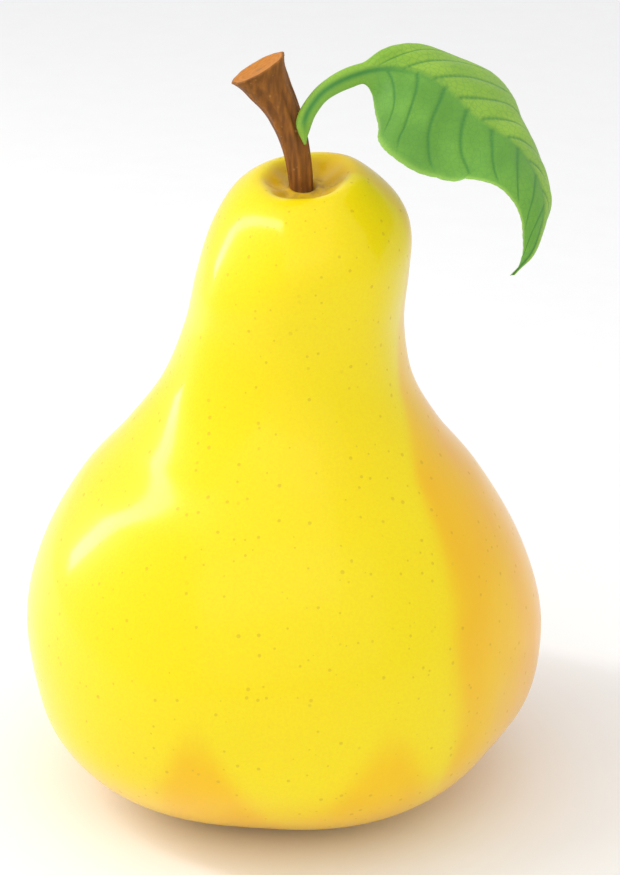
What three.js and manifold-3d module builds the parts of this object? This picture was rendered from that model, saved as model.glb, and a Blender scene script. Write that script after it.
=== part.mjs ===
// A ripe dessert pear, as picked: the fruit, its woody stalk, one leaf on the stalk and the dried calyx
// in the hollow underneath. Millimetres, +Z up. The pear stands on the lobes round its calyx basin, the
// face towards -Y is the front, and the origin is at the bottom centre of its bounding box.

import * as THREE from "three";
import { mergeVertices } from "three/addons/utils/BufferGeometryUtils.js";
import Module from "manifold-3d";

// ---- Driving dimensions -------------------------------------------------------------------------

const CLEARANCE = 0.3; // between pieces that touch each other

const FRUIT_HEIGHT = 96; // base to the crest behind the stalk cavity
const BULB_RADIUS = 38.4;
const BULB_HEIGHT = 25; // height of the widest place
const NECK_RADIUS = 15.6;
const NECK_HEIGHT = 76; // height of the slimmest place of the neck
const CREST_RADIUS = 6.6; // ring round the stalk cavity
const CAVITY_DEPTH = 3.3;
const CREST_FALL = 3.6; // how much lower the shoulder is in front of the cavity than behind it
const RIM_RADIUS = 11; // ring of lobes round the calyx basin
const BASIN_DEPTH = 5.6;
const NECK_LEAN = 6; // sideways, towards +X
const NECK_BOW = 1.8; // forwards, towards -Y
const CAVITY_OFFSET = 2.4; // of the stalk cavity from the neck's centre line, towards -X
const LIP_RISE = 0.7; // how much higher the crest is towards +X, and lower towards -X
const LOBES = 5;
const LOBE_TURN = -61; // degrees from +X to the first lobe
const LOBE_SWELL = 0.022; // of the radius, near the base
const LOBE_DROP = 0.55; // how far a lobe stands below the furrows beside it
const FLAT_DEPTH = 0.4; // how much of each lobe is flattened where the pear rests

const STALK_RADIUS = 1.5; // where it leaves the flesh
const STALK_GAIN = 0.9; // how much thicker it is at its far end, without the flare
const STALK_FLARE = 1.8; // the swollen end that broke off the spur
const STALK_HEIGHT = 20.8; // straight up, from the floor of its socket
const STALK_REACH = 6; // sideways, towards -X
const SOCKET_DEPTH = 2.4; // how deep the stalk is set in the flesh

const LEAF_PLACE = 0.47; // share of the stalk's length where the leaf stalk's foot sits
const LEAF_SIDE = -50; // degrees from +X, where it sits round the stalk
const LEAF_LEAN = 22; // degrees that the leaf leans back from upright
const LEAF_REACH = 32.6; // sideways, from the foot to the outermost place of the midrib
const LEAF_RISE = 10.7; // height of the midrib's arch above its foot
const LEAF_DROP = 18.3; // how far its tip hangs below its foot
const LEAF_HALF_WIDTH = 14;
const LEAF_THICKNESS = 0.6;
const LEAF_STALK_WIDTH = 2.3;
const LEAF_STALK_THICKNESS = 1.5;
const LEAF_ROLL = 40; // degrees that the blade is rolled towards the front about its midrib
const LEAF_CAMBER = 35; // degrees that each half curls down from there to its edge

const CALYX_THROAT = 1.7; // radius of the ring that the sepals grow from
const SEPAL_LENGTH = 3.4;
const SEPAL_DROOP = 2.2;
const CALYX_THICKNESS = 0.7;

// ---- Shared shape functions ---------------------------------------------------------------------

const radians = THREE.MathUtils.degToRad;
const mix = THREE.MathUtils.lerp;

/** 0 before a, 1 after b, and a smooth step between them. */
function ease(value, a, b) {
  return THREE.MathUtils.smoothstep(value, a, b);
}

/** Moves every vertex of a geometry to where place(vertex) says. */
function reshape(geometry, place) {
  const position = geometry.getAttribute("position");
  const vertex = new THREE.Vector3();
  for (let i = 0; i < position.count; i++) {
    const moved = place(vertex.fromBufferAttribute(position, i));
    position.setXYZ(i, moved.x, moved.y, moved.z);
  }
  return geometry;
}

const wasm = await Module();
wasm.setup();

/** A closed geometry as a manifold-3d solid. */
function solidOf(geometry) {
  const bare = geometry.clone();
  bare.deleteAttribute("normal");
  bare.deleteAttribute("uv");
  const merged = mergeVertices(bare, 1e-4);
  return new wasm.Manifold(
    new wasm.Mesh({
      numProp: 3,
      vertProperties: new Float32Array(merged.getAttribute("position").array),
      triVerts: new Uint32Array(merged.index.array),
    }),
  );
}

/** A manifold-3d solid as a geometry. */
function geometryOf(solid) {
  const mesh = solid.getMesh();
  const geometry = new THREE.BufferGeometry();
  geometry.setAttribute("position", new THREE.BufferAttribute(mesh.vertProperties, 3));
  geometry.setIndex(new THREE.BufferAttribute(mesh.triVerts, 1));
  geometry.computeVertexNormals();
  return geometry;
}

/** A named sub-part with its own material. */
function piece(name, geometry, colour, roughness) {
  const material = new THREE.MeshStandardMaterial({ color: colour, roughness, metalness: 0 });
  const mesh = new THREE.Mesh(geometry, material);
  mesh.name = name;
  return mesh;
}

// ---- Fruit --------------------------------------------------------------------------------------
// One grown body: a broad bulb on five low lobes, a waist, a thick neck and a shallow cavity on top.

/** Where the pear's centre line lies at a height: upright in the bulb, leaning in the neck. */
function centreLine(height) {
  const share = Math.max(0, (height / FRUIT_HEIGHT - 0.4) / 0.6) ** 2;
  return new THREE.Vector2(NECK_LEAN * share, -NECK_BOW * share);
}

/** The outline as [radius, height], from the middle of the calyx basin up to the stalk cavity. */
function fruitOutline() {
  const waist = (share) => mix(BULB_RADIUS, NECK_RADIUS, share);
  const rise = (share) => mix(BULB_HEIGHT, NECK_HEIGHT, share);
  const shoulder = (share) => mix(NECK_HEIGHT, FRUIT_HEIGHT, share);
  const dome = (share) => mix(CREST_RADIUS, NECK_RADIUS, share);
  const underside = (share) => mix(RIM_RADIUS, BULB_RADIUS, share);
  return [
    [0, BASIN_DEPTH],
    [RIM_RADIUS * 0.35, BASIN_DEPTH * 0.93],
    [RIM_RADIUS * 0.68, BASIN_DEPTH * 0.5],
    [RIM_RADIUS, 0],
    [underside(0.38), BULB_HEIGHT * 0.07],
    [underside(0.73), BULB_HEIGHT * 0.27],
    [underside(0.935), BULB_HEIGHT * 0.55],
    [BULB_RADIUS, BULB_HEIGHT * 0.9],
    [waist(0.02), rise(0.11)],
    [waist(0.15), rise(0.285)],
    [waist(0.38), rise(0.455)],
    [waist(0.67), rise(0.605)],
    [waist(0.89), rise(0.755)],
    [waist(0.99), rise(0.92)],
    [dome(0.97), shoulder(0.18)],
    [dome(0.88), shoulder(0.52)],
    [dome(0.67), shoulder(0.76)],
    [dome(0.31), shoulder(0.935)],
    [CREST_RADIUS, FRUIT_HEIGHT],
    [CREST_RADIUS * 0.52, FRUIT_HEIGHT - CAVITY_DEPTH * 0.5],
    [0, FRUIT_HEIGHT - CAVITY_DEPTH],
  ];
}

/** Gives a round pear its lobes, its leaning neck, its uneven crest and the small flats it rests on. */
function growFruit(vertex) {
  const radius = Math.hypot(vertex.x, vertex.y);
  const around = Math.atan2(vertex.y, vertex.x);
  const centre = centreLine(vertex.z);

  const lobe = Math.cos(LOBES * (around - radians(LOBE_TURN)));
  const nearBase = 1 - ease(vertex.z, 0, BULB_HEIGHT * 1.4);
  const swell = 1 + LOBE_SWELL * lobe * nearBase;
  const onRim = Math.exp(-(((radius - RIM_RADIUS) / (RIM_RADIUS * 0.5)) ** 2)) * nearBase ** 6;
  const base = (LOBE_DROP * onRim * (1 - lobe)) / 2 - FLAT_DEPTH * nearBase ** 6;

  const onTop = ease(vertex.z, NECK_HEIGHT, FRUIT_HEIGHT - CAVITY_DEPTH);
  const offset = CAVITY_OFFSET * onTop * (1 - ease(radius, CREST_RADIUS, NECK_RADIUS));
  const onLip = Math.exp(-(((radius - CREST_RADIUS * 1.15) / (CREST_RADIUS * 0.5)) ** 2)) * onTop;
  const lip = LIP_RISE * onLip * Math.cos(around);
  const fall = CREST_FALL * onTop * ease(-vertex.y, -1.2 * CREST_RADIUS, 2 * CREST_RADIUS);

  return new THREE.Vector3(
    vertex.x * swell + centre.x - offset,
    vertex.y * swell + centre.y,
    Math.max(0, vertex.z + base + lip - fall),
  );
}

function fruitGeometry() {
  const around = 40;
  const along = 46;
  const outline = new THREE.SplineCurve(fruitOutline().map(([r, z]) => new THREE.Vector2(r, z)));
  const points = outline.getPoints(along);
  points[0].x = 0;
  points[along].x = 0;
  const round = new THREE.LatheGeometry(points, around).rotateX(Math.PI / 2);
  return reshape(round, growFruit);
}

// ---- Stalk --------------------------------------------------------------------------------------
// A woody stalk, set in the flesh at the floor of the cavity. It bends sideways and ends in the swollen
// scar where it parted from the twig.

const cavityFloor = growFruit(new THREE.Vector3(0, 0, FRUIT_HEIGHT - CAVITY_DEPTH));
const stalkFoot = cavityFloor.clone();
stalkFoot.z += CLEARANCE - SOCKET_DEPTH;

const stalkPath = new THREE.CatmullRomCurve3(
  [
    // sideways, up
    [0, 0],
    [0, 0.1],
    [0, 0.17],
    [0.04, 0.3],
    [0.13, 0.46],
    [0.3, 0.62],
    [0.5, 0.75],
    [0.75, 0.87],
    [1, 1],
  ].map(([side, up]) => new THREE.Vector3(-STALK_REACH * side, 0, STALK_HEIGHT * up).add(stalkFoot)),
);

/** The stalk's radius at a share of its length. */
function stalkRadius(share) {
  return STALK_RADIUS + STALK_GAIN * share + STALK_FLARE * share ** 6;
}

/** A round bar of unit size, carried along the stalk's path. */
function onStalk(radiusAt) {
  return (vertex) => {
    const share = vertex.y + 0.5;
    const ahead = stalkPath.getTangentAt(share);
    const front = new THREE.Vector3(0, -1, 0);
    const side = new THREE.Vector3().crossVectors(ahead, front).normalize();
    return stalkPath
      .getPointAt(share)
      .addScaledVector(side, vertex.x * radiusAt(share))
      .addScaledVector(front, vertex.z * radiusAt(share));
  };
}

function stalkGeometry() {
  return reshape(new THREE.CylinderGeometry(1, 1, 1, 16, 20), onStalk(stalkRadius));
}

/** The hole in the flesh that the stalk is set in: its own lowest stretch and a clearance all round. */
function socketGeometry() {
  const height = CAVITY_DEPTH + SOCKET_DEPTH;
  const radius = stalkRadius(height / STALK_HEIGHT) + CLEARANCE;
  const hole = new THREE.CylinderGeometry(radius, radius, height, 16).rotateX(Math.PI / 2);
  return hole.translate(stalkFoot.x, stalkFoot.y, stalkFoot.z - CLEARANCE + height / 2);
}

// ---- Leaf ---------------------------------------------------------------------------------------
// One leaf: a short grooved leaf stalk that sits against the bark, and a blade that arches over and
// hangs down to a long point. The blade is rolled towards the front about its midrib, and its halves
// curl down to their edges.

const leafRoot = 0.225; // share of the midrib's length that is leaf stalk
const leafFoot = stalkPath.getPointAt(LEAF_PLACE);

const midrib = new THREE.CatmullRomCurve3(
  [
    // sideways, up, forwards
    [0, 0, 0],
    [-0.008, 0.16, 0.7],
    [-0.009, 0.31, 1.3],
    [0.01, 0.46, 1.7],
    [0.053, 0.635, 1.5],
    [0.107, 0.765, 0.9],
    [0.169, 0.87, 0.1],
    [0.24, 0.95, -0.6],
    [0.33, 1, -1],
    [0.43, 0.975, -1.1],
    [0.523, 0.88, -0.9],
    [0.61, 0.69, -0.5],
    [0.695, 0.42, 0],
    [0.78, 0.21, 0.4],
    [0.867, 0.03, 0.8],
    [0.94, -0.24, 1.2],
    [0.985, -0.54, 1.6],
    [1, -0.79, 1.9],
    [0.985, -1.09, 2.3],
    [0.945, -1.43, 2.7],
    [0.864, -LEAF_DROP / LEAF_RISE, 3.3],
  ].map(([side, up, forward]) => new THREE.Vector3(side * LEAF_REACH, up * LEAF_RISE, forward)),
);

/** The line from the blade's base to its tip. */
const bladeLine = midrib.getPointAt(1).sub(midrib.getPointAt(leafRoot)).normalize();

/** The blade's width as shares of its greatest, at even steps from its base to its tip. */
const bladeOutline = new THREE.SplineCurve(
  [0, 0.28, 0.62, 0.9, 1, 0.93, 0.79, 0.69, 0.58, 0.42, 0.22, 0.08, 0].map(
    (width, step) => new THREE.Vector2(step, width),
  ),
);

/** Half the leaf's width, in millimetres, at a share of the blade's length; the leaf stalk is below 0. */
function leafHalfWidth(share) {
  const foot = mix(0.5, 1, ease(share, -0.29, -0.2));
  const stalk = (LEAF_STALK_WIDTH / 2) * foot * (1 - ease(share, 0.75, 1)) + 0.3 * ease(share, -0.15, 0);
  return Math.max(stalk, LEAF_HALF_WIDTH * bladeOutline.getPoint(Math.max(0, share)).y);
}

/** Half the leaf's thickness: stout in the leaf stalk, thin in the blade and thinner at the tip. */
function leafHalfThickness(share) {
  const blade = LEAF_THICKNESS * (1 - 0.4 * ease(share, 0.8, 1));
  return mix(LEAF_STALK_THICKNESS, blade, ease(share, -0.08, 0.1)) / 2;
}

/** The turn of the blade about its midrib, in radians. */
function bladeRoll(share) {
  const opened = ease(share, -0.02, 0.24);
  const furled = 0.55 * ease(share, 0.42, 0.7) - 0.6 * ease(share, 0.8, 0.95);
  return radians(LEAF_ROLL) * (opened + furled);
}

/** A point of the leaf, from an upright bar of unit size: foot at its top, across is x and through is z. */
function onLeaf(vertex) {
  const along = 0.5 - vertex.y;
  const share = (along - leafRoot) / (1 - leafRoot);
  const ahead = midrib.getTangentAt(along).lerp(bladeLine, 0.5 * ease(share, -0.1, 0.15));
  const outwards = new THREE.Vector3(0, 0, 1).cross(ahead).normalize();
  const forwards = new THREE.Vector3().crossVectors(ahead, outwards).normalize();
  const roll = bladeRoll(share);
  const camber = radians(LEAF_CAMBER) * ease(share, -0.05, 0.15) + 1e-6;
  const angle = roll + camber * vertex.x;
  const width = leafHalfWidth(share) / camber;
  const across = (Math.sin(angle) - Math.sin(roll)) * width;
  const back = (Math.cos(roll) - Math.cos(angle)) * width;
  const wave = 0.4 * Math.sin(share * 19 + 1) * vertex.x ** 2 * ease(share, 0.05, 0.3);
  const lift = vertex.z * leafHalfThickness(share) + wave;
  return midrib
    .getPointAt(along)
    .addScaledVector(outwards, across + Math.sin(angle) * lift)
    .addScaledVector(forwards, -back + Math.cos(angle) * lift);
}

function leafGeometry() {
  return reshape(new THREE.CylinderGeometry(1, 1, 1, 20, 40), onLeaf);
}

// ---- Calyx --------------------------------------------------------------------------------------
// The five dried sepals of the blossom, joined in a small cup on the floor of the basin. They hang
// clear of what the pear stands on.

function calyxGeometry() {
  const top = BASIN_DEPTH - FLAT_DEPTH - CLEARANCE;
  const throat = new THREE.Vector2(CALYX_THROAT, top - CALYX_THICKNESS);
  const outline = new THREE.SplineCurve(
    [
      [0, top - CALYX_THICKNESS * 1.6],
      [CALYX_THROAT * 0.8, top - CALYX_THICKNESS * 1.6],
      [CALYX_THROAT + SEPAL_LENGTH * 0.5, throat.y - SEPAL_DROOP * 0.55],
      [CALYX_THROAT + SEPAL_LENGTH, throat.y - SEPAL_DROOP],
      [CALYX_THROAT + SEPAL_LENGTH * 0.98, throat.y - SEPAL_DROOP + CALYX_THICKNESS * 0.6],
      [CALYX_THROAT + SEPAL_LENGTH * 0.5, throat.y - SEPAL_DROOP * 0.2],
      [CALYX_THROAT * 0.8, top - CALYX_THICKNESS * 0.2],
      [0, top],
    ].map(([r, z]) => new THREE.Vector2(r, z)),
  );
  const points = outline.getPoints(16);
  points[0].x = 0;
  points[16].x = 0;
  const round = new THREE.LatheGeometry(points, LOBES * 8).rotateX(Math.PI / 2);
  return reshape(round, (vertex) => {
    const radius = Math.hypot(vertex.x, vertex.y);
    const around = Math.atan2(vertex.y, vertex.x);
    if (radius <= CALYX_THROAT) return vertex;
    const sepal = mix(0.12, 1, (0.5 + 0.5 * Math.cos(LOBES * (around - radians(LOBE_TURN)))) ** 1.3);
    const grown = (CALYX_THROAT + (radius - CALYX_THROAT) * sepal) / radius;
    return new THREE.Vector3(vertex.x * grown, vertex.y * grown, mix(throat.y, vertex.z, sepal));
  });
}

// ---- The pear -----------------------------------------------------------------------------------

const pear = new THREE.Group();

const fruitSolid = solidOf(fruitGeometry()).subtract(solidOf(socketGeometry()));
pear.add(piece("fruit", geometryOf(fruitSolid), 0xfbee18, 0.32));
pear.add(piece("stalk", stalkGeometry(), 0xa06320, 0.8));
pear.add(piece("calyx", calyxGeometry(), 0x4a3420, 0.9));

// The foot of the leaf stalk sits against the bark, on the stalk's front right.
const leaf = new THREE.Group();
const fromStalk = stalkRadius(LEAF_PLACE) + CLEARANCE + LEAF_STALK_THICKNESS / 2;
leaf.position.copy(leafFoot);
leaf.position.x += fromStalk * Math.cos(radians(LEAF_SIDE));
leaf.position.y += fromStalk * Math.sin(radians(LEAF_SIDE));
leaf.rotation.x = Math.PI / 2 - radians(LEAF_LEAN);
leaf.add(piece("leaf", leafGeometry(), 0x6ca541, 0.5));
pear.add(leaf);

const middle = new THREE.Box3().setFromObject(pear, true).getCenter(new THREE.Vector3());
pear.position.set(-middle.x, -middle.y, 0);

export default pear;
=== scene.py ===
# A ripe dessert pear standing on a pale floor: the fruit, its woody stalk, the leaf on the stalk and the
# dried calyx underneath. Blender's unit is the metre; the pear's own sizes are written in millimetres
# and turned into metres where each mesh is made.

import math

import bpy
import numpy as np
from mathutils import Matrix, Vector


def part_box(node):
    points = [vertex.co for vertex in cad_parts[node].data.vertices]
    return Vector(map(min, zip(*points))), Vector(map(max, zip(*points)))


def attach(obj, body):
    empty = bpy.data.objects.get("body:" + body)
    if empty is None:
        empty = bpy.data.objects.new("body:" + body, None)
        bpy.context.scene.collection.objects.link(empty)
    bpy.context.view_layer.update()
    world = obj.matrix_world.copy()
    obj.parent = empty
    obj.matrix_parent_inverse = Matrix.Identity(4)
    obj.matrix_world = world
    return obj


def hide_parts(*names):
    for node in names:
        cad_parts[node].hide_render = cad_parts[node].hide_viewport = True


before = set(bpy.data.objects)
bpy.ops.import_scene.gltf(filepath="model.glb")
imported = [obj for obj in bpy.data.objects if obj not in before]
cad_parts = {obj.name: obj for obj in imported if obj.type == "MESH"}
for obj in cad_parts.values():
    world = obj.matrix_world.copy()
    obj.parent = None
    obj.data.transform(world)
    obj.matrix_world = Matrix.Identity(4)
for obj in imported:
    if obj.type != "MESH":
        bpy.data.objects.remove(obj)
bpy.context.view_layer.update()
scene = bpy.context.scene

# ---- Camera and stage ---------------------------------------------------------------------------
# A long lens that looks down on the pear, a white floor that runs out past the view, and soft lights: a
# tall strip on the left for the long highlight, a large box above and a weak one in front.

target = Vector((0.0041, 0.0, 0.0542))
camera_distance = 0.43
looking_down = math.radians(22)
towards_camera = Vector((0, -math.cos(looking_down), math.sin(looking_down)))

camera_data = bpy.data.cameras.new("camera")
camera_data.lens = 120.8
camera_data.clip_start = 0.01
camera = bpy.data.objects.new("camera", camera_data)
camera.location = target + towards_camera * camera_distance
camera.rotation_mode = "QUATERNION"
camera.rotation_quaternion = (-towards_camera).to_track_quat("-Z", "Y")
scene.collection.objects.link(camera)
scene.camera = camera
scene.view_settings.view_transform = "Standard"


def add_node(tree, kind, **inputs):
    """A shader node of this kind. Each input is named with _ for a space, and is a value or a socket."""
    made = tree.nodes.new(kind)
    for name, value in inputs.items():
        socket = made.inputs[int(name[1:])] if name[1:].isdigit() else made.inputs[name.replace("_", " ")]
        if isinstance(value, bpy.types.NodeSocket):
            tree.links.new(value, socket)
        else:
            socket.default_value = value
    return made


def new_material(name):
    """An empty node material, its tree and its Principled node."""
    material = bpy.data.materials.new(name)
    material.use_nodes = True
    tree = material.node_tree
    tree.nodes.clear()
    shader = tree.nodes.new("ShaderNodeBsdfPrincipled")
    output = tree.nodes.new("ShaderNodeOutputMaterial")
    tree.links.new(shader.outputs["BSDF"], output.inputs["Surface"])
    return material, tree, shader


floor_mesh = bpy.data.meshes.new("floor")
floor_mesh.from_pydata([(-4, -4, 0), (4, -4, 0), (4, 4, 0), (-4, 4, 0)], [], [(0, 1, 2, 3)])
floor = bpy.data.objects.new("floor", floor_mesh)
scene.collection.objects.link(floor)
floor_material, floor_tree, floor_shader = new_material("floor paper")
grain = add_node(floor_tree, "ShaderNodeTexNoise", Scale=900.0, Detail=2.0)
tint = add_node(floor_tree, "ShaderNodeMix", _0=grain.outputs["Fac"])
tint.data_type = "RGBA"
tint.inputs[6].default_value = (0.93, 0.93, 0.935, 1)
tint.inputs[7].default_value = (0.96, 0.96, 0.965, 1)
floor_tree.links.new(tint.outputs[2], floor_shader.inputs["Base Color"])
floor_shader.inputs["Roughness"].default_value = 0.9
floor_shader.inputs["Specular IOR Level"].default_value = 0.1
floor_mesh.materials.append(floor_material)

world = bpy.data.worlds.new("studio")
world.use_nodes = True
world.node_tree.nodes["Background"].inputs["Color"].default_value = (1, 1, 1, 1)
world.node_tree.nodes["Background"].inputs["Strength"].default_value = 0.8
scene.world = world


def softbox(name, place, aim, size, energy, upwards=(0, 0, 1)):
    """A rectangular area light that faces aim, with its height along upwards. Size is (width, height)."""
    data = bpy.data.lights.new(name, "AREA")
    data.shape = "RECTANGLE"
    data.size, data.size_y = size
    data.energy = energy
    light = bpy.data.objects.new(name, data)
    light.location = place
    light.rotation_mode = "QUATERNION"
    back = (Vector(place) - Vector(aim)).normalized()
    side = Vector(upwards).cross(back).normalized()
    light.rotation_quaternion = Matrix((side, back.cross(side), back)).transposed().to_quaternion()
    scene.collection.objects.link(light)


softbox("strip on the left", (-0.36, 0.06, 0.3), (0, 0, 0.06), (0.055, 0.6), 1.1, (0.2, -0.5, 0.75))
softbox("box above", (-0.1, -0.4, 0.75), (0, 0, 0.05), (0.9, 0.9), 1.1, (0, 1, 0))
softbox("weak box in front", (0.1, -0.95, 0.55), (0, 0, 0.05), (1.7, 1.0), 1.6)

# ---- Fruit --------------------------------------------------------------------------------------
# One grown body with thin, slightly waxy skin: a broad bulb on five low lobes, a waist, a neck that leans
# and a small uneven cavity where the stalk comes out. It is one closed surface from the middle of the
# calyx basin to the middle of the cavity, with its russet, a blush that is partly painted shade and a
# ring of painted shade in the cavity, all painted by place.

FRUIT_HEIGHT = 96
BULB_RADIUS = 38.4
BULB_HEIGHT = 25
NECK_RADIUS = 15.6
NECK_HEIGHT = 76
CREST_RADIUS = 6.6
CAVITY_DEPTH = 3.3
CREST_FALL = 3.6
RIM_RADIUS = 11
BASIN_DEPTH = 5.6
NECK_LEAN = 6
NECK_BOW = 1.8
CAVITY_OFFSET = 2.4
LIP_RISE = 0.7
LOBES = 5
LOBE_TURN = math.radians(-61)
LOBE_SWELL = 0.022
LOBE_DROP = 0.55
FLAT_DEPTH = 0.4

# The lobes reach out unevenly, so the pear's own axis lies a little off the middle of its box.
low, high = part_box("fruit")
fruit_axis = np.array([low[0] + high[0], low[1] + high[1]]) * 500 - (0.085, 0.121)


def mix(a, b, share):
    """The value this share of the way from a to b."""
    return a + (b - a) * share


def ease(value, low, high):
    """0 up to low, 1 from high, and 3t² - 2t³ between them, where t runs from 0 to 1."""
    t = np.clip((np.asarray(value, float) - low) / (high - low), 0, 1)
    return t * t * (3 - 2 * t)


def bell(value, middle, width):
    """A smooth bump of height 1: e to the minus square of the distance from the middle, in widths."""
    return np.exp(-(((value - middle) / width) ** 2))


def spline(points, shares):
    """Points on a uniform Catmull-Rom curve through the given points, at shares of their count.

    Between two points it is a cubic, and its slope at a point is half the step between the neighbours.
    """
    points = np.asarray(points, float)
    last = len(points) - 1
    place = np.clip(np.asarray(shares, float), 0, 1) * last
    start = np.minimum(place.astype(int), last - 1)
    w = (place - start)[:, None]
    a, b = points[np.maximum(start - 1, 0)], points[start]
    c, d = points[start + 1], points[np.minimum(start + 2, last)]
    out, into = (c - a) / 2, (d - b) / 2
    return ((2 * b - 2 * c + out + into) * w + (3 * c - 3 * b - 2 * out - into)) * w * w + out * w + b


def skin_object(name, rings, start, end, values=None):
    """A closed smooth mesh from rings of points in mm, with one point to close it at either end.

    rings has the shape (rings, points round, 3). values names numbers to keep for each vertex, as
    (rings, points round) arrays; the end points take the mean of the ring beside them.
    """
    count, around, _ = rings.shape
    vertices = np.vstack([rings.reshape(-1, 3), [start], [end]])
    ring, step = np.meshgrid(np.arange(count - 1), np.arange(around), indexing="ij")
    here, beside = ring * around + step, ring * around + (step + 1) % around
    quads = np.stack([here, beside, beside + around, here + around], -1).reshape(-1, 4)
    step = np.arange(around)
    after = (step + 1) % around
    far = (count - 1) * around
    first = np.stack([after, step, np.full(around, count * around)], -1)
    last = np.stack([far + step, far + after, np.full(around, count * around + 1)], -1)
    corners = [vertices[quads[:, k]] for k in range(4)]
    volume = np.einsum("ij,ij->i", corners[0], np.cross(corners[1], corners[2])).sum()
    volume += np.einsum("ij,ij->i", corners[0], np.cross(corners[2], corners[3])).sum()
    if volume < 0:
        quads, first, last = quads[:, ::-1], first[:, ::-1], last[:, ::-1]
    mesh = bpy.data.meshes.new(name)
    mesh.from_pydata((vertices / 1000).tolist(), [], quads.tolist() + first.tolist() + last.tolist())
    mesh.polygons.foreach_set("use_smooth", np.ones(len(mesh.polygons), bool))
    for key, grid in (values or {}).items():
        kept = np.concatenate([grid.ravel(), [grid[0].mean()], [grid[-1].mean()]])
        mesh.attributes.new(key, "FLOAT", "POINT").data.foreach_set("value", kept.astype(np.float32))
    made = bpy.data.objects.new(name, mesh)
    scene.collection.objects.link(made)
    return made


def fruit_outline():
    """The outline as (radius, height), from the middle of the basin up to the middle of the cavity.

    The pairs in the loops are shares of the way from one driving size to the next.
    """
    outline = []
    for out, up in ((0, 1), (0.35, 0.93), (0.68, 0.5), (1, 0)):
        outline.append((RIM_RADIUS * out, BASIN_DEPTH * up))
    for out, up in ((0.38, 0.07), (0.73, 0.27), (0.935, 0.55), (1, 0.9)):
        outline.append((mix(RIM_RADIUS, BULB_RADIUS, out), BULB_HEIGHT * up))
    for out, up in ((0.02, 0.11), (0.15, 0.285), (0.38, 0.455), (0.67, 0.605), (0.89, 0.755), (0.99, 0.92)):
        outline.append((mix(BULB_RADIUS, NECK_RADIUS, out), mix(BULB_HEIGHT, NECK_HEIGHT, up)))
    for out, up in ((0.97, 0.18), (0.88, 0.52), (0.67, 0.76), (0.31, 0.935), (0, 1)):
        outline.append((mix(CREST_RADIUS, NECK_RADIUS, out), mix(NECK_HEIGHT, FRUIT_HEIGHT, up)))
    outline.append((CREST_RADIUS * 0.52, FRUIT_HEIGHT - CAVITY_DEPTH * 0.5))
    outline.append((0, FRUIT_HEIGHT - CAVITY_DEPTH))
    return outline


def centre_line(height):
    """How far the pear's middle lies from upright at a height: (sideways, forwards), in mm.

    Both grow as the square of how far the height is past 0.4 of the whole, and are full at the crest.
    """
    share = np.maximum(0, (height / FRUIT_HEIGHT - 0.4) / 0.6) ** 2
    return NECK_LEAN * share, -NECK_BOW * share


def grow_fruit(radius, around, height):
    """Gives a round pear its lobes, leaning neck, uneven crest and the flats that it rests on.

    A cosine of five waves round the base swells the radius at the lobes and lifts the rim of the basin
    between them. The base is then sunk a little and cut off level at the floor, which leaves the flats.
    Near the top the cavity is set off to one side, one cosine wave tips the lip, and the crest falls away
    towards the front in a smooth step.
    """
    lobe = np.cos(LOBES * (around - LOBE_TURN))
    near_base = 1 - ease(height, 0, BULB_HEIGHT * 1.4)
    swell = 1 + LOBE_SWELL * lobe * near_base
    on_rim = bell(radius, RIM_RADIUS, RIM_RADIUS * 0.5) * near_base**6
    base = LOBE_DROP * on_rim * (1 - lobe) / 2 - FLAT_DEPTH * near_base**6
    on_top = ease(height, NECK_HEIGHT, FRUIT_HEIGHT - CAVITY_DEPTH)
    offset = CAVITY_OFFSET * on_top * (1 - ease(radius, CREST_RADIUS, NECK_RADIUS))
    lip = LIP_RISE * bell(radius, CREST_RADIUS * 1.15, CREST_RADIUS * 0.5) * on_top * np.cos(around)
    across, ahead = radius * np.cos(around), radius * np.sin(around)
    fall = CREST_FALL * on_top * ease(-ahead, -1.2 * CREST_RADIUS, 2 * CREST_RADIUS)
    lean, bow = centre_line(height)
    return np.stack(
        [
            fruit_axis[0] + across * swell + lean - offset,
            fruit_axis[1] + ahead * swell + bow,
            np.maximum(0, height + base + lip - fall),
        ],
        -1,
    )


fruit_rings, fruit_around = 300, 320
profile = spline(fruit_outline(), np.linspace(0, 1, fruit_rings + 2)[1:-1])
around = np.linspace(0, 2 * math.pi, fruit_around, endpoint=False)[None, :]
radius = profile[:, :1] + 0 * around
height = profile[:, 1:] + 0 * around

# The growth is a little uneven: long low swellings, faint furrows that carry on up from the lobes, a soft
# collar and folds round the stalk, and puckers in the basin.
on_side = ease(radius, 6, 14)
uneven = 0.22 * np.sin(3 * around + height / 15 + 0.6) + 0.16 * np.sin(2 * around - height / 9 + 2.1)
uneven += 0.1 * np.sin(7 * around + height / 11) + 0.08 * np.sin(4 * around - height / 5 + 1)
furrow = bell(np.cos(LOBES * (around - LOBE_TURN)), -1, 0.35) * (1 - ease(height, 8, 46))
detailed = radius + on_side * (uneven * ease(height, 3, 22) - 0.28 * furrow * ease(height, 1, 7))
in_cavity = ease(height, FRUIT_HEIGHT - CAVITY_DEPTH - 0.5, FRUIT_HEIGHT - CAVITY_DEPTH) * (radius < 20)
folds = 0.5 + 0.5 * np.cos(6 * around + 0.9 * np.sin(2 * around) + 0.5)
in_basin = (height < BASIN_DEPTH + 0.5) * (1 - ease(radius, 8, RIM_RADIUS))
puckers = 0.28 * np.cos(10 * around + 0.6 * np.sin(3 * around)) * bell(radius, 5.2, 2)
collar = 0.75 * bell(radius, 2.0, 0.7)
creases = 0.42 * folds * bell(radius, 4.4, 1.5)
detailed_height = height + in_cavity * (collar - creases) + in_basin * puckers
points = grow_fruit(detailed, around, detailed_height)
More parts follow.
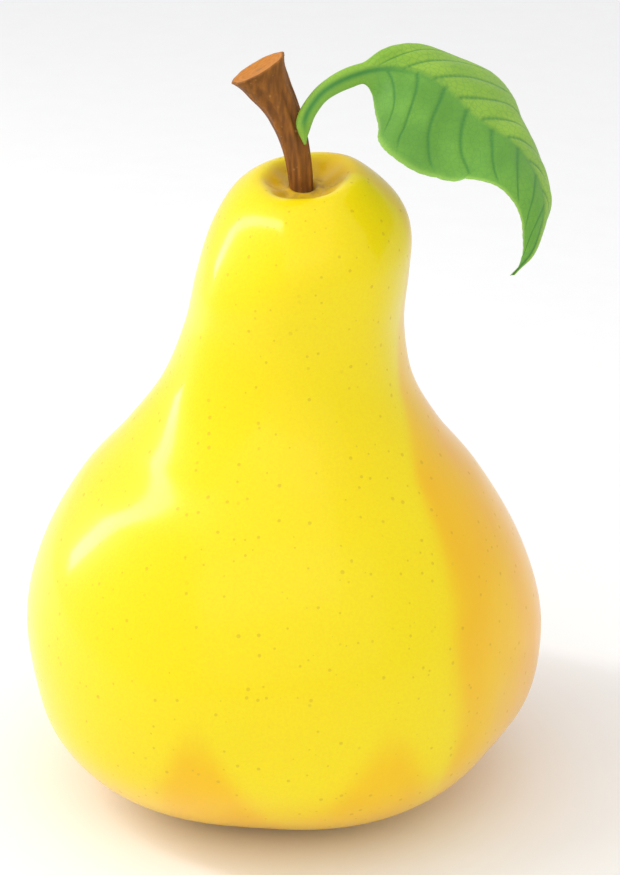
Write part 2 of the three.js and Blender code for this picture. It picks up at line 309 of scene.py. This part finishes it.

# Blush and painted shade: a golden side towards +X, away from the lights, and a golden base that reaches
# higher in a few uneven tongues. Both are partly a real blush and partly painted shade on the side away
# from the lights and on the lower body. Degrees are counted from the front.
front = (np.degrees(around) + 90 + 180) % 360 - 180
edge = np.interp(height, [0, 8, 20, 35, 55, 62, 75, 96], [36, 37, 40, 42, 50, 59, 74, 82])
wander = 1.2 * np.sin(height / 8.5) + 0.7 * np.sin(height / 3.1 + 1)
side = ease(front, edge - 6 + wander, edge + 7 + wander) * (1 - ease(front, 140, 178))
side = side * mix(1, 0.55, ease(height, 50, 80))
reach = 11.5 + 0 * front
# Each tongue's place in degrees, its width in degrees and its height in mm.
tongues = ((-18, 9, 13), (24, 10, 12), (96, 9, 10), (165, 9, 12), (-128, 9, 11), (-72, 8, 4))
for place, width, tall in tongues:
    reach = reach + tall * bell((front - place + 180) % 360 - 180, 0, width)
below = 1 - ease(height, reach - 8, reach + 6)
# Further round the +X side, towards the back, the colour deepens more: painted shade.
depth = ease(front, edge + 6, edge + 42) * (1 - ease(front, 140, 178))
deepest_shade = 0.38 * depth * (1 - ease(height, 55, 85))
blush_and_painted_shade = np.clip(np.maximum(side * 0.62, below * 0.54 * (height < 60)) + deepest_shade, 0, 1)
# A darker golden ring round the stalk in its cavity: painted shade in the hollow.
cavity = (1 - ease(radius, 4.6, 6.9)) * (height > NECK_HEIGHT)
russet = (1 - ease(radius, 2.2, 4.4)) * (height > NECK_HEIGHT)
russet = np.maximum(russet, (1 - ease(radius, 4, 10)) * (height < 10) * 0.8)

top, bottom = FRUIT_HEIGHT - CAVITY_DEPTH, BASIN_DEPTH
fruit = skin_object(
    "pear_fruit",
    points,
    grow_fruit(np.float64(0), np.float64(0), np.float64(bottom)),
    grow_fruit(np.float64(0), np.float64(0), np.float64(top)),
    {"blush_and_painted_shade": blush_and_painted_shade, "cavity": cavity, "russet": russet},
)


def attribute(tree, name):
    """The value that a mesh keeps under this name."""
    made = tree.nodes.new("ShaderNodeAttribute")
    made.attribute_name = name
    return made.outputs["Fac"]


def maths(tree, operation, *values):
    """The result of a Math node; each value is a number or a socket."""
    made = tree.nodes.new("ShaderNodeMath")
    made.operation = operation
    for k, value in enumerate(values):
        if isinstance(value, bpy.types.NodeSocket):
            tree.links.new(value, made.inputs[k])
        else:
            made.inputs[k].default_value = value
    return made.outputs[0]


def between(tree, share, a, b):
    """The colour this share of the way from a to b. Each is (r, g, b) or a socket."""
    made = tree.nodes.new("ShaderNodeMix")
    made.data_type = "RGBA"
    for value, socket in ((share, made.inputs[0]), (a, made.inputs[6]), (b, made.inputs[7])):
        if isinstance(value, bpy.types.NodeSocket):
            tree.links.new(value, socket)
        else:
            socket.default_value = (*value, 1) if isinstance(value, tuple) else value
    return made.outputs[2]


def span(tree, value, low, high, first=0.0, last=1.0):
    """Turns a value from low to high into one from first to last with soft ends."""
    made = add_node(tree, "ShaderNodeMapRange", Value=value)
    made.interpolation_type = "SMOOTHSTEP"
    for name, number in (("From Min", low), ("From Max", high), ("To Min", first), ("To Max", last)):
        made.inputs[name].default_value = number
    return made.outputs["Result"]


def new_group(name, inputs, output):
    """A shader node group. inputs pairs each input's name with its kind; output names its one value."""
    tree = bpy.data.node_groups.new(name, "ShaderNodeTree")
    for label, kind in inputs:
        tree.interface.new_socket(label, in_out="INPUT", socket_type=kind)
    tree.interface.new_socket(output, in_out="OUTPUT", socket_type="NodeSocketFloat")
    return tree, tree.nodes.new("NodeGroupInput").outputs, tree.nodes.new("NodeGroupOutput").inputs


# Mottle: cloudy growth in the object's own coordinates. Scale is in cycles a metre, and the clouds are
# longer along an axis whose Stretch is below 1.
mottle_group, given, result = new_group(
    "mottle",
    (("Scale", "NodeSocketFloat"), ("Detail", "NodeSocketFloat"), ("Stretch", "NodeSocketVector")),
    "Mottle",
)
here = mottle_group.nodes.new("ShaderNodeTexCoord").outputs["Object"]
stretched = add_node(mottle_group, "ShaderNodeMapping", Vector=here, Scale=given["Stretch"])
clouds = add_node(
    mottle_group,
    "ShaderNodeTexNoise",
    Vector=stretched.outputs[0],
    Scale=given["Scale"],
    Detail=given["Detail"],
)
mottle_group.links.new(clouds.outputs["Fac"], result["Mottle"])


def mottle(tree, scale, detail=3.0, stretch=(1, 1, 1)):
    """The mottle group in a material, with its own values."""
    made = tree.nodes.new("ShaderNodeGroup")
    made.node_tree = mottle_group
    made.inputs["Scale"].default_value = scale
    made.inputs["Detail"].default_value = detail
    made.inputs["Stretch"].default_value = stretch
    return made.outputs["Mottle"]


# Spots: small corky dots at about Scale a metre. Each reaches out to Smallest plus a share of Spread, as
# shares of the distance between them, and more of them are missing the higher Bare is.
spots_group, given, result = new_group(
    "spots",
    [(label, "NodeSocketFloat") for label in ("Scale", "Smallest", "Spread", "Bare")],
    "Spots",
)
here = spots_group.nodes.new("ShaderNodeTexCoord").outputs["Object"]
cells = add_node(spots_group, "ShaderNodeTexVoronoi", Vector=here, Scale=given["Scale"])
dice = add_node(spots_group, "ShaderNodeSeparateColor", Color=cells.outputs["Color"]).outputs
size = maths(spots_group, "MULTIPLY_ADD", dice[0], given["Spread"], given["Smallest"])
inside = span(spots_group, maths(spots_group, "SUBTRACT", size, cells.outputs["Distance"]), 0.0, 0.06)
luck = span(spots_group, maths(spots_group, "SUBTRACT", dice[1], given["Bare"]), 0.0, 0.25)
spots_group.links.new(maths(spots_group, "MULTIPLY", inside, luck), result["Spots"])


def spots(tree, scale, smallest, spread, bare):
    """The spots group in a material, with its own values."""
    made = tree.nodes.new("ShaderNodeGroup")
    made.node_tree = spots_group
    for label, value in (("Scale", scale), ("Smallest", smallest), ("Spread", spread), ("Bare", bare)):
        made.inputs[label].default_value = value
    return made.outputs["Spots"]


skin, tree, shader = new_material("pear skin")
mottled = maths(tree, "MULTIPLY_ADD", mottle(tree, 260, 4), 0.3, -0.15)
blush_and_shade_mask = attribute(tree, "blush_and_painted_shade")
ragged = maths(tree, "MULTIPLY", blush_and_shade_mask, maths(tree, "SUBTRACT", 1.0, blush_and_shade_mask))
streaks = maths(tree, "MULTIPLY_ADD", mottle(tree, 170, 5, (1, 1, 0.3)), 1.3, -0.65)
ripe_and_shade = maths(tree, "MULTIPLY_ADD", ragged, streaks, blush_and_shade_mask)
ripe_and_shade = maths(tree, "MULTIPLY_ADD", mottled, blush_and_shade_mask, ripe_and_shade)
# Yellow turns golden and then orange as this rises: partly a real blush, partly painted shade.
colour = between(tree, span(tree, ripe_and_shade, 0, 0.62), (0.88, 0.715, 0.003), (0.88, 0.5, 0.003))
colour = between(tree, span(tree, ripe_and_shade, 0.6, 1.0), colour, (0.89, 0.41, 0.002))
cloudy = span(tree, mottle(tree, 55, 2), 0.35, 0.75, 0, 0.3)
colour = between(tree, cloudy, colour, (0.93, 0.68, 0.004))
# The darker golden ring in the stalk cavity is painted shade in the hollow.
colour = between(tree, maths(tree, "MULTIPLY", attribute(tree, "cavity"), 0.9), colour, (0.68, 0.4, 0.008))
rough_patch = span(tree, mottle(tree, 620, 5), 0.4, 0.62, 0.25, 0.85)
corky = maths(tree, "MULTIPLY", attribute(tree, "russet"), rough_patch)
colour = between(tree, corky, colour, (0.36, 0.2, 0.035))

speckle = span(tree, mottle(tree, 2600, 2), 0.35, 0.7, 0, 0.16)
colour = between(tree, speckle, colour, (0.8, 0.5, 0.01))

# Lenticels, the pores that dot a pear's skin.
dot = spots(tree, 700, 0.07, 0.17, 0.25)
colour = between(tree, maths(tree, "MULTIPLY", dot, 0.34), colour, (0.5, 0.27, 0.015))
tree.links.new(colour, shader.inputs["Base Color"])
finish = maths(tree, "MULTIPLY_ADD", attribute(tree, "russet"), 0.3, 0.33)
finish = maths(tree, "ADD", finish, maths(tree, "MULTIPLY", dot, 0.2))
tree.links.new(finish, shader.inputs["Roughness"])
relief = maths(tree, "MULTIPLY_ADD", mottle(tree, 480, 4), 0.5, maths(tree, "MULTIPLY", dot, 0.5))
bump = add_node(tree, "ShaderNodeBump", Height=relief, Strength=0.22, Distance=0.00012)
tree.links.new(bump.outputs[0], shader.inputs["Normal"])
shader.inputs["Specular IOR Level"].default_value = 0.3
shader.inputs["Specular Tint"].default_value = (1, 0.88, 0.3, 1)
shader.inputs["Coat Weight"].default_value = 0.4
shader.inputs["Coat Roughness"].default_value = 0.13
shader.inputs["Subsurface Weight"].default_value = 0.06
shader.inputs["Subsurface Scale"].default_value = 0.002
fruit.data.materials.append(skin)
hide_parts("fruit")
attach(fruit, "root")

# ---- Stalk --------------------------------------------------------------------------------------
# A dry woody stalk, grown out of the flesh in the cavity. It is a bar along a bent line, with ridges and
# small scars in its bark, and it ends in the flared, pale scar where it parted from the twig.

STALK_RADIUS = 1.5
STALK_GAIN = 0.9
STALK_FLARE = 1.8
STALK_HEIGHT = 20.8
STALK_REACH = 6
SOCKET_DEPTH = 2.4
CLEARANCE = 0.3

stalk_foot = grow_fruit(np.float64(0), np.float64(0), np.float64(FRUIT_HEIGHT - CAVITY_DEPTH))
stalk_foot = stalk_foot - np.array([0, 0, SOCKET_DEPTH - CLEARANCE])
stalk_line = np.zeros((9, 3))
stalk_line[:, 0] = [0, 0, 0, 0.04, 0.13, 0.3, 0.5, 0.75, 1]
stalk_line[:, 2] = [0, 0.1, 0.17, 0.3, 0.46, 0.62, 0.75, 0.87, 1]
stalk_line = stalk_foot + stalk_line * (-STALK_REACH, 0, STALK_HEIGHT)


def along_curve(points, shares):
    """Places and directions on the curve through the points, at shares of its length.

    Lengths are added up over 800 short chords, and a direction is the chord across a point.
    """
    fine = np.linspace(0, 1, 801)
    curve = spline(points, fine)
    length = np.r_[0, np.cumsum(np.linalg.norm(np.diff(curve, axis=0), axis=1))]
    at = np.interp(np.asarray(shares) * length[-1], length, fine)
    places = spline(points, at)
    ahead = spline(points, np.minimum(at + 1e-3, 1)) - spline(points, np.maximum(at - 1e-3, 0))
    return places, ahead / np.linalg.norm(ahead, axis=1, keepdims=True)


def stalk_radius(share):
    """The stalk's radius in mm at a share of its length: a steady gain, and a flare by its sixth power."""
    return STALK_RADIUS + STALK_GAIN * share + STALK_FLARE * share**6


bark_rings, stalk_around = 150, 72
share = np.linspace(0, 0.985, bark_rings)[:, None]
turn = np.linspace(0, 2 * math.pi, stalk_around, endpoint=False)[None, :]
twist = turn + 0.5 * share
calm = 1 - 0.65 * ease(share, 0.82, 0.97)
ridges = 0.05 * np.cos(7 * twist + 0.7 * np.sin(5 * share)) + 0.035 * np.cos(13 * twist + 2 + 3 * share)
knots = 0.16 * bell(share, 0.62, 0.03) * bell(np.cos(turn - 2.4), 1, 0.25)
knots = knots + 0.13 * bell(share, 0.8, 0.04) * bell(np.cos(turn - 5.2), 1, 0.3)
rings_of_growth = 0.03 * np.sin(46 * share) * ease(share, 0.55, 0.9)
collar = 0.5 * bell(share, 0.1, 0.035)
ridges = ridges * calm
bark = stalk_radius(share) * (1 + ridges) + knots + rings_of_growth + collar

# The bark turns in over a rounded rim and the scar is slightly hollow, with a pith in its middle.
rim = np.array([[1.0, 0.992], [0.985, 0.997], [0.955, 1.0], [0.9, 1.0], [0.84, 0.998]])
inner = np.linspace(0.78, 0.04, 22)
scar = np.column_stack([inner, 0.996 - 0.012 * (1 - (inner / 0.8) ** 2)])
ends = np.vstack([rim, scar])
end_radius = ends[:, :1] * stalk_radius(1.0) * (1 + ridges[-1:] * ease(ends[:, :1], 0.5, 1) + 0 * turn)
everywhere = np.concatenate([share[:, 0], ends[:, 1]])
bar_radius = np.vstack([bark, end_radius])
places, ahead = along_curve(stalk_line, everywhere)
forward = np.array([0.0, -1, 0])
sideways = np.cross(ahead, forward)
sideways /= np.linalg.norm(sideways, axis=1, keepdims=True)
rings = places[:, None] + sideways[:, None] * (bar_radius * np.cos(turn))[..., None]
rings = rings + forward * (bar_radius * np.sin(turn))[..., None]
groove = np.vstack([np.clip(0.5 - ridges / 0.14, 0, 1), np.zeros_like(end_radius)])
cut = np.vstack([np.zeros_like(bark), ease(1 - ends[:, :1], 0.03, 0.12) + 0 * turn])
ring_place = np.vstack([np.ones_like(bark), ends[:, :1] + 0 * turn])
stalk = skin_object(
    "pear_stalk", rings, places[0], places[-1], {"groove": groove, "cut": cut, "ring": ring_place}
)

wood, tree, shader = new_material("pear stalk bark")
streak = mottle(tree, 1500, 5, (1, 1, 0.16))
patch = mottle(tree, 420, 3)
colour = between(tree, span(tree, streak, 0.3, 0.7), (0.19, 0.068, 0.009), (0.37, 0.135, 0.02))
colour = between(tree, span(tree, patch, 0.45, 0.75, 0, 0.5), colour, (0.13, 0.047, 0.009))
shaded = maths(tree, "MULTIPLY", attribute(tree, "groove"), 0.45)
colour = between(tree, shaded, colour, (0.08, 0.028, 0.007))
year = maths(tree, "SINE", maths(tree, "MULTIPLY", attribute(tree, "ring"), 34.0))
pith = span(tree, attribute(tree, "ring"), 0.1, 0.2, 1, 0)
pale = between(tree, span(tree, year, -1, 1, 0, 0.4), (0.57, 0.21, 0.024), (0.43, 0.14, 0.016))
pale = between(tree, span(tree, streak, 0.4, 0.7, 0, 0.3), pale, (0.36, 0.12, 0.015))
pale = between(tree, maths(tree, "MULTIPLY", pith, 0.6), pale, (0.3, 0.13, 0.035))
colour = between(tree, attribute(tree, "cut"), colour, pale)
fleck = maths(tree, "MULTIPLY", spots(tree, 900, 0.12, 0.1, 0.05), 0.5)
colour = between(tree, fleck, colour, (0.42, 0.22, 0.07))
tree.links.new(colour, shader.inputs["Base Color"])
tree.links.new(span(tree, streak, 0.2, 0.8, 0.55, 0.8), shader.inputs["Roughness"])
relief = maths(tree, "ADD", streak, maths(tree, "MULTIPLY", fleck, 0.4))
bump = add_node(tree, "ShaderNodeBump", Height=relief, Strength=0.55, Distance=0.0002)
tree.links.new(bump.outputs[0], shader.inputs["Normal"])
shader.inputs["Specular IOR Level"].default_value = 0.25
stalk.data.materials.append(wood)
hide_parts("stalk")
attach(stalk, "root")

# ---- Leaf ---------------------------------------------------------------------------------------
# One satin green leaf. Its leaf stalk grows on the bark, and its blade arches over, is rolled towards the
# front about its midrib and ends in a long point. It is a closed bar that is flattened into a blade, with
# a sunken midrib, side veins, a finely toothed margin and a gentle wave.

LEAF_PLACE = 0.47
LEAF_SIDE = math.radians(-50)
LEAF_LEAN = math.radians(22)
LEAF_REACH = 32.6
LEAF_RISE = 10.7
LEAF_DROP = 18.3
LEAF_HALF_WIDTH = 14
LEAF_THICKNESS = 0.6
LEAF_STALK_WIDTH = 2.3
LEAF_STALK_THICKNESS = 1.5
LEAF_ROLL = math.radians(40)
LEAF_CAMBER = math.radians(35)
LEAF_ROOT = 0.225
FOOT_TUCK = 0.62
SIDE_VEINS = 8
TOOTH_DEPTH = 0.08

# Sideways, up and forwards.
midrib = [
    (0, 0, 0),
    (-0.008, 0.16, 0.7),
    (-0.009, 0.31, 1.3),
    (0.01, 0.46, 1.7),
    (0.053, 0.635, 1.5),
    (0.107, 0.765, 0.9),
    (0.169, 0.87, 0.1),
    (0.24, 0.95, -0.6),
    (0.33, 1, -1),
    (0.43, 0.975, -1.1),
    (0.523, 0.88, -0.9),
    (0.61, 0.69, -0.5),
    (0.695, 0.42, 0),
    (0.78, 0.21, 0.4),
    (0.867, 0.03, 0.8),
    (0.94, -0.24, 1.2),
    (0.985, -0.54, 1.6),
    (1, -0.79, 1.9),
    (0.985, -1.09, 2.3),
    (0.945, -1.43, 2.7),
    (0.864, -LEAF_DROP / LEAF_RISE, 3.3),
]
midrib = np.array(midrib) * (LEAF_REACH, LEAF_RISE, 1)
blade_widths = [0, 0.28, 0.62, 0.9, 1, 0.93, 0.79, 0.69, 0.58, 0.42, 0.22, 0.08, 0]

leaf_rings, leaf_around = 560, 150
along = np.linspace(0, 1, leaf_rings)
share = ((along - LEAF_ROOT) / (1 - LEAF_ROOT))[:, None]
places, ahead = along_curve(midrib, along)
root_and_tip, _ = along_curve(midrib, [LEAF_ROOT, 1])
blade_line = root_and_tip[1] - root_and_tip[0]
blade_line /= np.linalg.norm(blade_line)
spine = mix(ahead, blade_line, 0.5 * ease(share, -0.1, 0.15))
outwards = np.cross([0, 0, 1.0], spine)
outwards /= np.linalg.norm(outwards, axis=1, keepdims=True)
forwards = np.cross(spine, outwards)
forwards /= np.linalg.norm(forwards, axis=1, keepdims=True)

foot = mix(0.14, 1, ease(share, -0.295, -0.215) ** 0.8)
half_width = LEAF_STALK_WIDTH / 2 * foot * (1 - ease(share, 0.75, 1)) + 0.3 * ease(share, -0.15, 0)
blade = LEAF_HALF_WIDTH * spline(np.array(blade_widths)[:, None], np.maximum(share[:, 0], 0))
half_width = (half_width**4 + blade**4) ** 0.25
half_width = half_width * (1 - ease(share, 0.93, 1.0) * 0.93)
foot_depth = mix(0.25, 1, ease(share, -0.295, -0.215))
blade_thickness = LEAF_THICKNESS * (1 - 0.4 * ease(share, 0.8, 1))
thickness = mix(LEAF_STALK_THICKNESS, blade_thickness, ease(share, -0.08, 0.1))
half_thickness = foot_depth * thickness / 2
on_blade = ease(share, 0.0, 0.12)

# The ring runs across the front of the leaf and back across its underside: x is the cosine of the turn
# and z its sine, both squared off a little by a power below 1.
turn = np.linspace(0, 2 * math.pi, leaf_around, endpoint=False)[None, :]
x = np.cos(turn)
x = np.sign(x) * np.abs(x) ** 0.8
z = np.sin(turn)
z = mix(z, np.sign(z) * np.abs(z) ** 0.5, on_blade)

# Side veins leave the midrib in turn, left and right, and bend towards the tip.
vein = np.zeros((leaf_rings, leaf_around))
for k in range(SIDE_VEINS):
    for hand, shift in ((1, 0.0), (-1, 0.045)):
        start = 0.05 + 0.095 * k + shift
        reach_out = np.clip(x * hand, 0, 1)
        line = start + 0.13 * reach_out + 0.06 * reach_out**2.4
        width = mix(0.0075, 0.0035, reach_out)
        fading = (x * hand > 0) * (1 - ease(reach_out, 0.8, 0.97))
        vein = np.maximum(vein, bell(share, line, width) * fading * 0.85)
width_here = np.maximum(half_width, 0.4)
rib = np.exp(-((x * width_here / mix(0.46, 0.24, ease(share, 0, 0.9))) ** 2)) * ease(share, -0.27, -0.2)
pattern = np.maximum(vein * on_blade, rib)
teeth = np.abs(np.sin(share * 120)) * TOOTH_DEPTH * ease(np.abs(x), 0.96, 1)
teeth = teeth * on_blade * (1 - ease(share, 0.85, 1))
roll = LEAF_ROLL * (
    ease(share, -0.02, 0.24) + 0.55 * ease(share, 0.42, 0.7) - 0.6 * ease(share, 0.8, 0.95)
)
# Across the midrib the blade is an arc of a circle. It is turned by the roll, and each half spans the
# camber, so its radius is the half width over the camber.
camber = LEAF_CAMBER * ease(share, -0.05, 0.15) + 1e-6
angle = roll + camber * x
bend = (half_width + teeth) / camber
across = (np.sin(angle) - np.sin(roll)) * bend
back = (np.cos(roll) - np.cos(angle)) * bend
wave = 0.4 * np.sin(share * 19 + 1) * x**2 * ease(share, 0.05, 0.3)
puff = 0.13 * np.cos((share - 0.13 * np.abs(x)) * 66) * bell(np.abs(x), 0.5, 0.3)
puff = puff * on_blade * (1 - ease(share, 0.7, 0.9))
lift = z * half_thickness + wave + puff - 0.16 * pattern * on_blade
lift = lift - 0.3 * (z < 0) * rib * on_blade * (1 - ease(share, 0.3, 1))
rings = places[:, None] + outwards[:, None] * (across + np.sin(angle) * lift)[..., None]
rings = rings + forwards[:, None] * (-back + np.cos(angle) * lift)[..., None]

# The leaf leans back from upright and stands on the front right of the stalk.
stalk_side, _ = along_curve(stalk_line, [LEAF_PLACE])
gap = stalk_radius(LEAF_PLACE) + CLEARANCE + LEAF_STALK_THICKNESS / 2
off_stalk = np.array([math.cos(LEAF_SIDE), math.sin(LEAF_SIDE), 0])
leaf_foot = stalk_side[0] + gap * off_stalk
back_up, back_over = math.cos(LEAF_LEAN), math.sin(LEAF_LEAN)
upright = np.array([[1, 0, 0], [0, back_over, back_up], [0, -back_up, back_over]])
tuck = FOOT_TUCK * (1 - ease(share, -0.29, -0.16))
rings = rings @ upright + leaf_foot - tuck[..., None] * off_stalk
# 1 on the outer half of the blade, which is painted lighter, and 0 on the inner half, which is painted
# darker.
lit_outer_half_mask = ease(x, -0.05, 0.05) + 0 * share
margin = bell(np.abs(x), 1, 0.045) * on_blade
leaf = skin_object(
    "pear_leaf",
    rings,
    rings[0].mean(axis=0),
    rings[-1].mean(axis=0),
    {
        "vein": pattern,
        "painted_lit_half": lit_outer_half_mask,
        "margin": margin + 0 * x,
        "under": ease(-z, -0.1, 0.1) * on_blade,
        "petiole": 1 - on_blade + 0 * x,
    },
)

green, tree, shader = new_material("pear leaf")
cloud = mottle(tree, 140, 4)
# The outer half of the blade is painted a lighter green, a painted highlight for the half that faces the
# light, and the inner half a darker green, painted shade; the fold of the blade also shades it for real.
shaded_inner_green = between(tree, span(tree, cloud, 0.35, 0.7), (0.115, 0.32, 0.033), (0.165, 0.4, 0.045))
lit_outer_green = between(tree, span(tree, cloud, 0.35, 0.7), (0.23, 0.44, 0.035), (0.3, 0.52, 0.05))
colour = between(tree, attribute(tree, "painted_lit_half"), shaded_inner_green, lit_outer_green)
net = tree.nodes.new("ShaderNodeTexVoronoi")
net.feature = "DISTANCE_TO_EDGE"
net.inputs["Scale"].default_value = 1100
tree.links.new(tree.nodes.new("ShaderNodeTexCoord").outputs["Object"], net.inputs["Vector"])
mesh_of_veins = span(tree, net.outputs["Distance"], 0.02, 0.1, 0.28, 0)
colour = between(tree, mesh_of_veins, colour, (0.09, 0.27, 0.05))
colour = between(tree, maths(tree, "MULTIPLY", attribute(tree, "margin"), 0.7), colour, (0.34, 0.6, 0.09))
colour = between(tree, maths(tree, "MULTIPLY", attribute(tree, "under"), 0.5), colour, (0.34, 0.47, 0.2))
colour = between(tree, maths(tree, "MULTIPLY", attribute(tree, "petiole"), 0.5), colour, (0.27, 0.5, 0.05))
colour = between(tree, maths(tree, "MULTIPLY", attribute(tree, "vein"), 0.95), colour, (0.045, 0.22, 0.035))
tree.links.new(colour, shader.inputs["Base Color"])
tree.links.new(span(tree, cloud, 0.3, 0.7, 0.42, 0.56), shader.inputs["Roughness"])
relief = maths(tree, "MULTIPLY_ADD", mesh_of_veins, -1.2, mottle(tree, 900, 3))
bump = add_node(tree, "ShaderNodeBump", Height=relief, Strength=0.35, Distance=0.00012)
tree.links.new(bump.outputs[0], shader.inputs["Normal"])
shader.inputs["Specular IOR Level"].default_value = 0.35
leaf.data.materials.append(green)
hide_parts("leaf")
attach(leaf, "root")

# ---- Calyx --------------------------------------------------------------------------------------
# What is left of the blossom on the floor of the basin: a small cup with five dried, curled sepals. It
# is one closed star-shaped skin, brittle and nearly black.

CALYX_THROAT = 1.7
SEPAL_LENGTH = 3.4
SEPAL_DROOP = 2.2
CALYX_THICKNESS = 0.7

cup_top = BASIN_DEPTH - FLAT_DEPTH - CLEARANCE
tip_height = cup_top - CALYX_THICKNESS - SEPAL_DROOP
outline = [
    (0, cup_top - CALYX_THICKNESS * 1.6),
    (CALYX_THROAT * 0.8, cup_top - CALYX_THICKNESS * 1.6),
    (CALYX_THROAT + SEPAL_LENGTH * 0.5, tip_height + SEPAL_DROOP * 0.45),
    (CALYX_THROAT + SEPAL_LENGTH, tip_height),
    (CALYX_THROAT + SEPAL_LENGTH * 0.98, tip_height + CALYX_THICKNESS * 0.6),
    (CALYX_THROAT + SEPAL_LENGTH * 0.5, tip_height + SEPAL_DROOP * 0.8),
    (CALYX_THROAT * 0.8, cup_top - CALYX_THICKNESS * 0.2),
    (0, cup_top),
]
profile = spline(outline, np.linspace(0, 1, 92)[1:-1])
turn = np.linspace(0, 2 * math.pi, 200, endpoint=False)[None, :]
radius = np.abs(profile[:, :1]) + 0 * turn
height = profile[:, 1:] + 0 * turn
sepal = mix(0.12, 1, (0.5 + 0.5 * np.cos(LOBES * (turn - LOBE_TURN))) ** 1.3)
out = radius > CALYX_THROAT
length = 1 - 0.12 * (0.5 + 0.5 * np.sin(2 * turn + 1))
grown = np.where(out, CALYX_THROAT + (radius - CALYX_THROAT) * sepal * length, radius)
hang = np.where(out, mix(cup_top - CALYX_THICKNESS, height, sepal), height)
far_out = ease(grown, CALYX_THROAT, CALYX_THROAT + SEPAL_LENGTH)
hang = hang + 0.3 * far_out * np.sin(LOBES * (turn - LOBE_TURN) + 1.2 * np.sin(turn)) * 0.6
hang = hang - 0.12 * np.cos(20 * turn) * bell(grown, 1.1, 0.5)
rings = np.stack([fruit_axis[0] + grown * np.cos(turn), fruit_axis[1] + grown * np.sin(turn), hang], -1)
calyx = skin_object(
    "pear_calyx",
    rings,
    np.array([*fruit_axis, outline[0][1] + 0.25]),
    np.array([*fruit_axis, cup_top]),
    {"dry": far_out},
)

brown, tree, shader = new_material("pear calyx")
fibre = mottle(tree, 2200, 4)
colour = between(tree, span(tree, fibre, 0.35, 0.7), (0.03, 0.016, 0.009), (0.12, 0.06, 0.028))
colour = between(tree, maths(tree, "MULTIPLY", attribute(tree, "dry"), 0.5), colour, (0.2, 0.11, 0.05))
tree.links.new(colour, shader.inputs["Base Color"])
shader.inputs["Roughness"].default_value = 0.85
bump = add_node(tree, "ShaderNodeBump", Height=fibre, Strength=0.6, Distance=0.0002)
tree.links.new(bump.outputs[0], shader.inputs["Normal"])
calyx.data.materials.append(brown)
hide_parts("calyx")
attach(calyx, "root")
